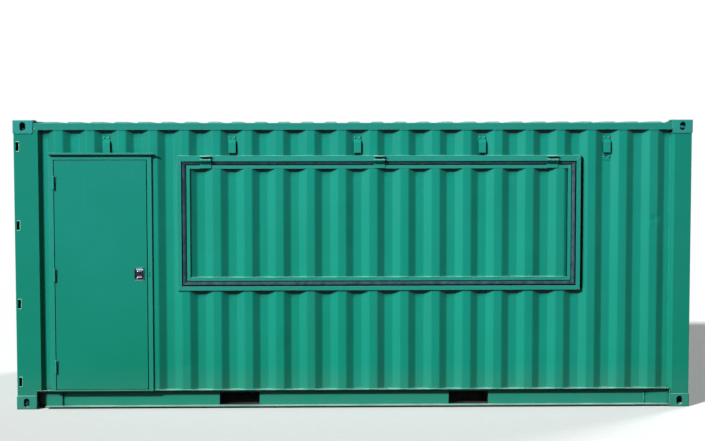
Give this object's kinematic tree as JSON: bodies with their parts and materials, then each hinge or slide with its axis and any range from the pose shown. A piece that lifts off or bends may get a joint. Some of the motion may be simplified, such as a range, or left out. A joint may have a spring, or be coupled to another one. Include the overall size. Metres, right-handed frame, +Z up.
{
  "type": "container cabin",
  "caption": "Steel shipping container cabin with a flush personnel door and a wide top-hung serving hatch in one corrugated side, vents under the roof rail and double cargo doors at one end",
  "frame": {"origin": "the bottom centre of the bounding box, on the ground under the middle of the cabin", "axes": "+Z up, +X along the cabin from the cargo doors to the blind end, -Y out through the wall with the door and the serving hatch"},
  "size_m": [6.058, 2.475, 2.591],
  "materials": {
    "container_paint": "gloss sea-green paint over steel, weathered",
    "floor_boards": "varnished plywood, worn",
    "seals": "black weatherstrip rubber",
    "latch_plating": "polished plating"
  },
  "bodies": {
    "cabin": {"back_wall": "container_paint", "blind_end_posts": "container_paint", "blind_end_rails": "container_paint", "bottom_side_rails": "container_paint", "cargo_door_frames": "container_paint", "cargo_door_hinges": "container_paint", "cargo_door_panels": "container_paint", "cargo_door_seals": "seals", "cargo_end_posts": "container_paint", "cargo_header_and_sill": "container_paint", "corner_castings": "container_paint", "cross_members": "container_paint", "door_drip_rail": "container_paint", "door_head": "container_paint", "door_jambs": "container_paint", "door_threshold": "container_paint", "end_wall": "container_paint", "floor": "floor_boards", "fork_tunnels": "container_paint", "frame_stops": "container_paint", "front_wall_between": "container_paint", "front_wall_ends": "container_paint", "front_wall_over_openings": "container_paint", "front_wall_under_hatch": "container_paint", "hatch_frame_rails": "container_paint", "hatch_frame_stiles": "container_paint", "hinge_frame_halves": "container_paint", "lock_bar_brackets": "container_paint", "lock_bars": "container_paint", "lock_handles": "container_paint", "lock_keepers": "container_paint", "roof": "container_paint", "roof_corner_plates": "container_paint", "roof_end_plates": "container_paint", "top_side_rails": "container_paint", "wall_vents": "container_paint"},
    "personnel_door": {"door_leaf": "container_paint", "door_stiffeners": "container_paint", "door_hinge_leaf_halves": "container_paint", "door_latch_dish": "latch_plating", "door_latch_paddle": "latch_plating"},
    "serving_hatch": {"hatch_leaf_frame": "container_paint", "hatch_panel": "container_paint", "hatch_seal": "seals", "hatch_hinge_leaf_halves": "container_paint"}
  },
  "joints": [
    {"name": "door_hinge", "type": "hinge", "parent": "cabin", "child": "personnel_door", "pos_m": [-2.671, -1.2135, 1.208], "axis": [0, 0, -1], "range_deg": [0, 170]},
    {"name": "hatch_hinge", "type": "hinge", "parent": "cabin", "child": "serving_hatch", "pos_m": [0.2245, -1.2255, 2.231], "axis": [-1, 0, 0], "range_deg": [0, 90]}
  ]
}
